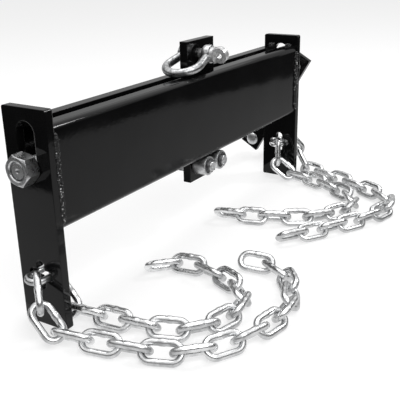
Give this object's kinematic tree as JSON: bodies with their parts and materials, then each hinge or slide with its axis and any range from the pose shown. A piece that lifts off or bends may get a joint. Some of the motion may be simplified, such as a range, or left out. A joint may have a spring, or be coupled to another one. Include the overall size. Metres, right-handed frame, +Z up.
{
  "type": "engine load leveler",
  "caption": "Engine load leveler: slotted beam on end plates, crank-driven screw that moves a lifting shackle along it, and chains whose ends attach to an engine.",
  "frame": {"origin": "on the floor that the end plates stand on, midway between them", "axes": "+X along the beam to the crank, -Y to the front where the chains lie, +Z up"},
  "size_m": [0.6589, 0.3028, 0.239],
  "materials": {
    "black_paint": "gloss black paint",
    "zinc_chain": "bright zinc",
    "galvanised_steel": "galvanised",
    "zinc_fastener": "bright zinc",
    "turned_steel": "turned, satin",
    "black_grip": "matt"
  },
  "bodies": {
    "frame": {"front_channel": "black_paint", "rear_channel": "black_paint", "left_end_plate": "black_paint", "right_end_plate": "black_paint", "end_welds": "black_paint", "left_hole_link": "zinc_chain", "right_hole_link": "zinc_chain", "left_outer_chain": "zinc_chain", "left_inner_chain": "zinc_chain", "right_inner_chain": "zinc_chain", "right_outer_chain": "zinc_chain"},
    "screw": {"lead_screw": "zinc_fastener", "lock_nuts": "zinc_fastener", "crank_arm": "black_paint", "grip_spindle": "turned_steel"},
    "grip": {"crank_grip": "black_grip"},
    "carriage": {"lift_plate": "black_paint", "travelling_nut": "turned_steel", "roller_plate": "black_paint", "left_roller_pin": "turned_steel", "right_roller_pin": "turned_steel"},
    "shackle": {"shackle_bow": "galvanised_steel", "shackle_pin": "galvanised_steel"},
    "front_left_roller_body": {"front_left_roller": "turned_steel"},
    "front_right_roller_body": {"front_right_roller": "turned_steel"},
    "rear_left_roller_body": {"rear_left_roller": "turned_steel"},
    "rear_right_roller_body": {"rear_right_roller": "turned_steel"},
    "left_outer_link_body_1": {"left_outer_end_link_1": "zinc_chain"},
    "left_outer_link_body_2": {"left_outer_end_link_2": "zinc_chain"},
    "left_outer_link_body_3": {"left_outer_end_link_3": "zinc_chain"},
    "left_outer_link_body_4": {"left_outer_end_link_4": "zinc_chain"},
    "left_inner_link_body_1": {"left_inner_end_link_1": "zinc_chain"},
    "left_inner_link_body_2": {"left_inner_end_link_2": "zinc_chain"},
    "left_inner_link_body_3": {"left_inner_end_link_3": "zinc_chain"},
    "left_inner_link_body_4": {"left_inner_end_link_4": "zinc_chain"},
    "right_inner_link_body_1": {"right_inner_end_link_1": "zinc_chain"},
    "right_inner_link_body_2": {"right_inner_end_link_2": "zinc_chain"},
    "right_inner_link_body_3": {"right_inner_end_link_3": "zinc_chain"},
    "right_inner_link_body_4": {"right_inner_end_link_4": "zinc_chain"},
    "right_outer_link_body_1": {"right_outer_end_link_1": "zinc_chain"},
    "right_outer_link_body_2": {"right_outer_end_link_2": "zinc_chain"},
    "right_outer_link_body_3": {"right_outer_end_link_3": "zinc_chain"},
    "right_outer_link_body_4": {"right_outer_end_link_4": "zinc_chain"}
  },
  "joints": [
    {"name": "screw_turn", "type": "hinge", "parent": "frame", "child": "screw", "pos_m": [0, 0, 0.1615], "axis": [1, 0, 0], "range_deg": [-15030, 19170]},
    {"name": "grip_spin", "type": "hinge", "parent": "screw", "child": "grip", "pos_m": [0.3133, 0.07359, 0.03656], "axis": [1, 0, 0], "continuous": true},
    {"name": "carriage_slide", "type": "slide", "parent": "frame", "child": "carriage", "axis": [1, 0, 0], "range_m": [-0.213, 0.167]},
    {"name": "shackle_swing", "type": "hinge", "parent": "carriage", "child": "shackle", "pos_m": [0.023, 0, 0.222], "axis": [0, 1, 0], "range_deg": [0, 215]},
    {"name": "front_left_roller_roll", "type": "hinge", "parent": "carriage", "child": "front_left_roller_body", "pos_m": [0.0085, 0, 0.0887], "axis": [0, 1, 0], "range_deg": [-800, 1020]},
    {"name": "front_right_roller_roll", "type": "hinge", "parent": "carriage", "child": "front_right_roller_body", "pos_m": [0.0375, 0, 0.0887], "axis": [0, 1, 0], "range_deg": [-800, 1020]},
    {"name": "rear_left_roller_roll", "type": "hinge", "parent": "carriage", "child": "rear_left_roller_body", "pos_m": [0.0085, 0, 0.0887], "axis": [0, 1, 0], "range_deg": [-800, 1020]},
    {"name": "rear_right_roller_roll", "type": "hinge", "parent": "carriage", "child": "rear_right_roller_body", "pos_m": [0.0375, 0, 0.0887], "axis": [0, 1, 0], "range_deg": [-800, 1020]},
    {"name": "left_outer_link_lift_1", "type": "hinge", "parent": "frame", "child": "left_outer_link_body_1", "pos_m": [-0.1184, -0.19501, 0.01151], "axis": [0.2876, -0.646, 0.7071], "range_deg": [0, 25]},
    {"name": "left_outer_link_lift_2", "type": "hinge", "parent": "left_outer_link_body_1", "child": "left_outer_link_body_2", "pos_m": [-0.09211, -0.18191, 0.01021], "axis": [0.4353, -0.5572, -0.7071], "range_deg": [0, 25]},
    {"name": "left_outer_link_lift_3", "type": "hinge", "parent": "left_outer_link_body_2", "child": "left_outer_link_body_3", "pos_m": [-0.06967, -0.16311, 0.01151], "axis": [0.6243, -0.332, 0.7071], "range_deg": [0, 25]},
    {"name": "left_outer_link_lift_4", "type": "hinge", "parent": "left_outer_link_body_3", "child": "left_outer_link_body_4", "pos_m": [-0.0573, -0.13627, 0.01021], "axis": [0.7032, 0.0739, -0.7071], "range_deg": [0, 25]},
    {"name": "left_inner_link_lift_1", "type": "hinge", "parent": "frame", "child": "left_inner_link_body_1", "pos_m": [-0.11581, -0.12857, 0.01021], "axis": [0.646, -0.2876, -0.7071], "range_deg": [0, 25]},
    {"name": "left_inner_link_lift_2", "type": "hinge", "parent": "left_inner_link_body_1", "child": "left_inner_link_body_2", "pos_m": [-0.10529, -0.1011, 0.01151], "axis": [0.6861, -0.1711, 0.7071], "range_deg": [0, 25]},
    {"name": "left_inner_link_lift_3", "type": "hinge", "parent": "left_inner_link_body_2", "child": "left_inner_link_body_3", "pos_m": [-0.09894, -0.07266, 0.01021], "axis": [0.6964, 0.1228, -0.7071], "range_deg": [0, 25]},
    {"name": "left_inner_link_lift_4", "type": "hinge", "parent": "left_inner_link_body_3", "child": "left_inner_link_body_4", "pos_m": [-0.10572, -0.04397, 0.01151], "axis": [0.5086, 0.4912, 0.7071], "range_deg": [0, 25]},
    {"name": "right_inner_link_lift_1", "type": "hinge", "parent": "frame", "child": "right_inner_link_body_1", "pos_m": [0.08948, -0.11722, 0.01151], "axis": [0.5862, 0.3954, -0.7071], "range_deg": [0, 25]},
    {"name": "right_inner_link_lift_2", "type": "hinge", "parent": "right_inner_link_body_1", "child": "right_inner_link_body_2", "pos_m": [0.07379, -0.09267, 0.01021], "axis": [0.646, 0.2876, 0.7071], "range_deg": [0, 25]},
    {"name": "right_inner_link_lift_3", "type": "hinge", "parent": "right_inner_link_body_2", "child": "right_inner_link_body_3", "pos_m": [0.0626, -0.06576, 0.01151], "axis": [0.6725, 0.2185, -0.7071], "range_deg": [0, 25]},
    {"name": "right_inner_link_lift_4", "type": "hinge", "parent": "right_inner_link_body_3", "child": "right_inner_link_body_4", "pos_m": [0.05402, -0.03795, 0.01021], "axis": [0.6861, 0.1711, 0.7071], "range_deg": [0, 25]},
    {"name": "right_outer_link_lift_1", "type": "hinge", "parent": "frame", "child": "right_outer_link_body_1", "pos_m": [0.11145, -0.17955, 0.01151], "axis": [0.3428, 0.6184, -0.7071], "range_deg": [0, 25]},
    {"name": "right_outer_link_lift_2", "type": "hinge", "parent": "right_outer_link_body_1", "child": "right_outer_link_body_2", "pos_m": [0.08613, -0.16509, 0.01021], "axis": [0.3642, 0.6061, 0.7071], "range_deg": [0, 25]},
    {"name": "right_outer_link_lift_3", "type": "hinge", "parent": "right_outer_link_body_2", "child": "right_outer_link_body_3", "pos_m": [0.06122, -0.14996, 0.01151], "axis": [0.3851, 0.593, -0.7071], "range_deg": [0, 25]},
    {"name": "right_outer_link_lift_4", "type": "hinge", "parent": "right_outer_link_body_3", "child": "right_outer_link_body_4", "pos_m": [0.03686, -0.13397, 0.01021], "axis": [0.4156, 0.5721, 0.7071], "range_deg": [0, 25]}
  ],
  "couplings": [
    {"joint": "carriage_slide", "follows": "screw_turn", "m_per_rad": -0.00063662},
    {"joint": "front_left_roller_roll", "follows": "screw_turn", "ratio": 0.053052},
    {"joint": "front_right_roller_roll", "follows": "screw_turn", "ratio": 0.053052},
    {"joint": "rear_left_roller_roll", "follows": "screw_turn", "ratio": 0.053052},
    {"joint": "rear_right_roller_roll", "follows": "screw_turn", "ratio": 0.053052}
  ]
}
